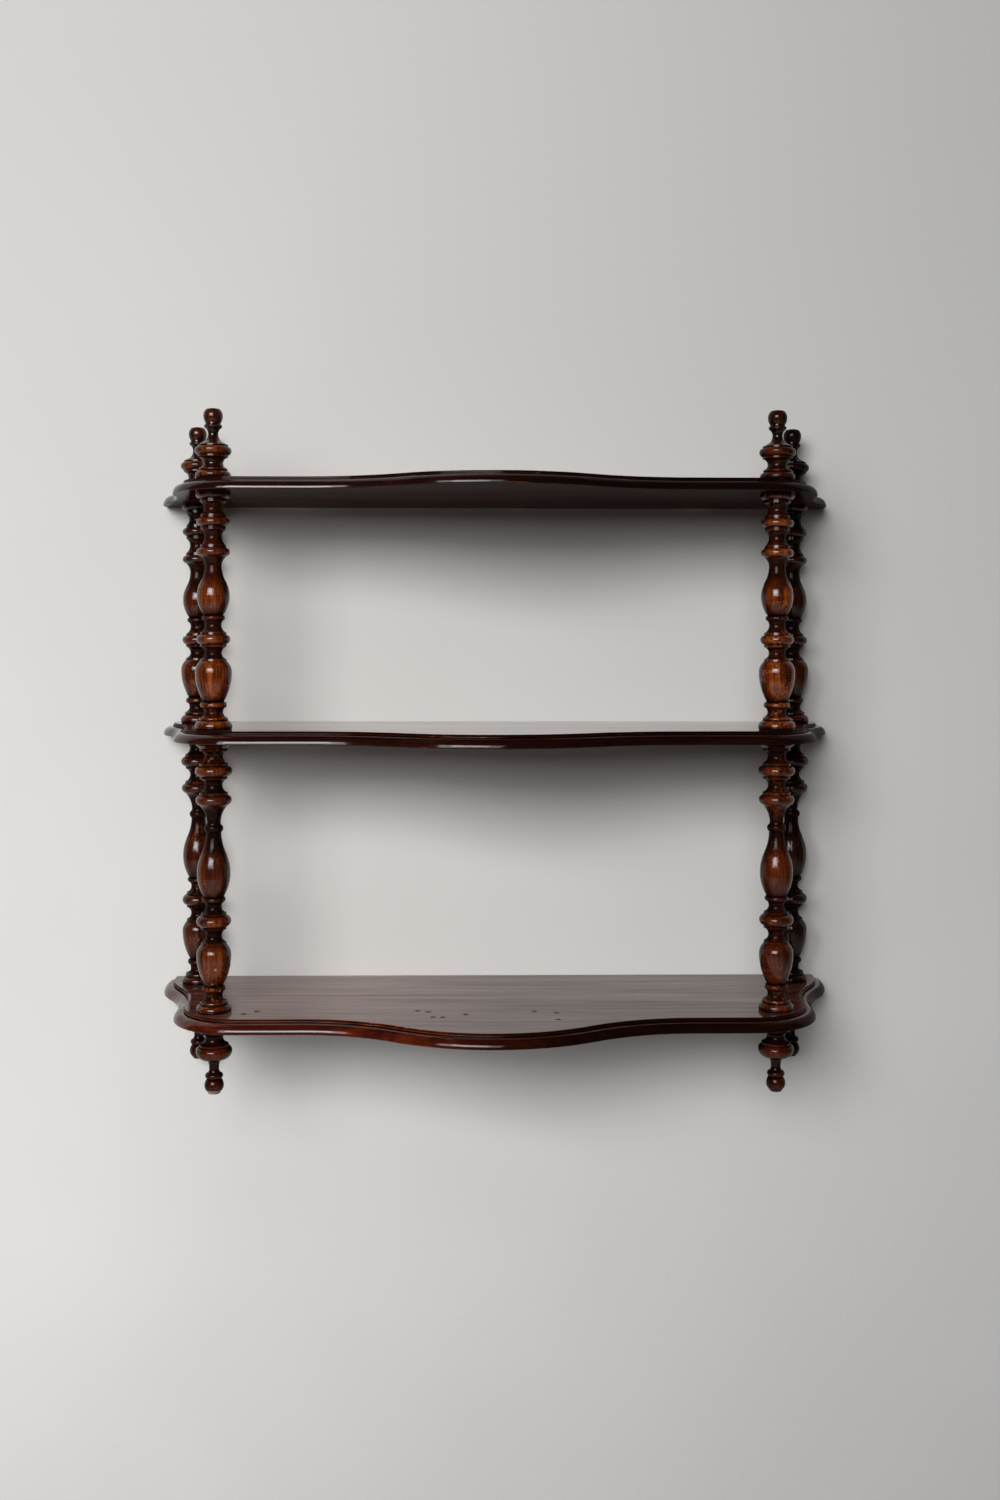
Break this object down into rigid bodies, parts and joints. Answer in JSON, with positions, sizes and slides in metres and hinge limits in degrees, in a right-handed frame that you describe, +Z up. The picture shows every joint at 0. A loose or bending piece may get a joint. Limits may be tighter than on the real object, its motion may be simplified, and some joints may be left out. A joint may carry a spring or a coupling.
{
  "type": "wall shelf",
  "caption": "Wall-hung wooden etagere: serpentine shelves with moulded edges on turned corner columns with finials and drop pendants, hung by brass eye plates.",
  "frame": {"origin": "Midway between the axes of the two hanger eyes, on the wall plane.", "axes": "+Z up, +Y into the wall, so the front faces -Y, and +X to the viewer's right."},
  "size_m": [0.657, 0.232, 0.6196],
  "materials": {
    "board_wood": "gloss",
    "turned_wood": "gloss",
    "dowel_wood": "matte",
    "hanger_brass": "satin",
    "screw_steel": "satin"
  },
  "bodies": {
    "root": {"top_shelf": "board_wood", "middle_shelf": "board_wood", "bottom_shelf": "board_wood", "finial_front_left": "turned_wood", "finial_front_right": "turned_wood", "finial_rear_left": "turned_wood", "finial_rear_right": "turned_wood", "upper_spindle_front_left": "turned_wood", "upper_spindle_front_right": "turned_wood", "upper_spindle_rear_left": "turned_wood", "upper_spindle_rear_right": "turned_wood", "lower_spindle_front_left": "turned_wood", "lower_spindle_front_right": "turned_wood", "lower_spindle_rear_left": "turned_wood", "lower_spindle_rear_right": "turned_wood", "pendant_front_left": "turned_wood", "pendant_front_right": "turned_wood", "pendant_rear_left": "turned_wood", "pendant_rear_right": "turned_wood", "top_dowel_front_left": "dowel_wood", "top_dowel_front_right": "dowel_wood", "top_dowel_rear_left": "dowel_wood", "top_dowel_rear_right": "dowel_wood", "middle_dowel_front_left": "dowel_wood", "middle_dowel_front_right": "dowel_wood", "middle_dowel_rear_left": "dowel_wood", "middle_dowel_rear_right": "dowel_wood", "bottom_dowel_front_left": "dowel_wood", "bottom_dowel_front_right": "dowel_wood", "bottom_dowel_rear_left": "dowel_wood", "bottom_dowel_rear_right": "dowel_wood", "hanger_plate_left": "hanger_brass", "hanger_plate_right": "hanger_brass", "hanger_screws": "screw_steel"}
  },
  "joints": []
}
